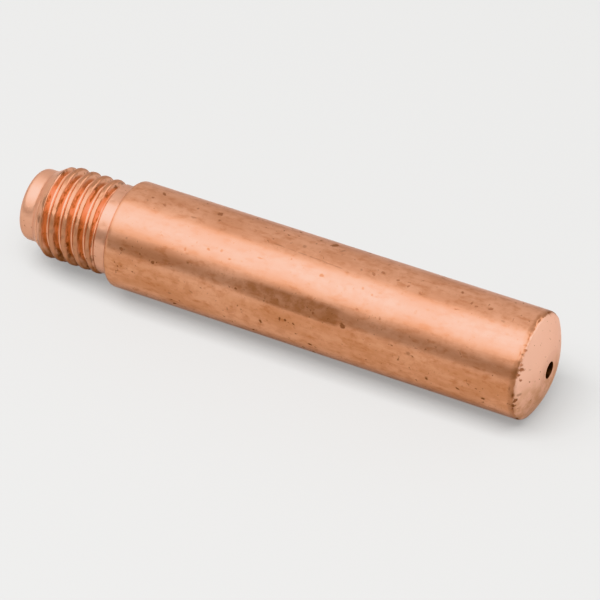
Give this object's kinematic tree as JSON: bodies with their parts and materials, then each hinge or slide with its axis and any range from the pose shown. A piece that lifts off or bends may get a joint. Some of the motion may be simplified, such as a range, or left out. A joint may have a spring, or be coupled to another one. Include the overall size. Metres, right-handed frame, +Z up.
{
  "type": "welding contact tip",
  "caption": "Turned copper contact tip with a threaded rear end, plain round body, domed nose and a through bore that guides and energises the welding wire.",
  "frame": {"origin": "on the floor, under the middle of the tip as it lies on its side", "axes": "+X along the tip's axis towards the nose, +Z up"},
  "size_m": [0.0376, 0.0072, 0.0073],
  "materials": {
    "copper": "satin turned copper, slightly pitted"
  },
  "bodies": {
    "root": {"contact_tip": "copper"}
  },
  "joints": []
}
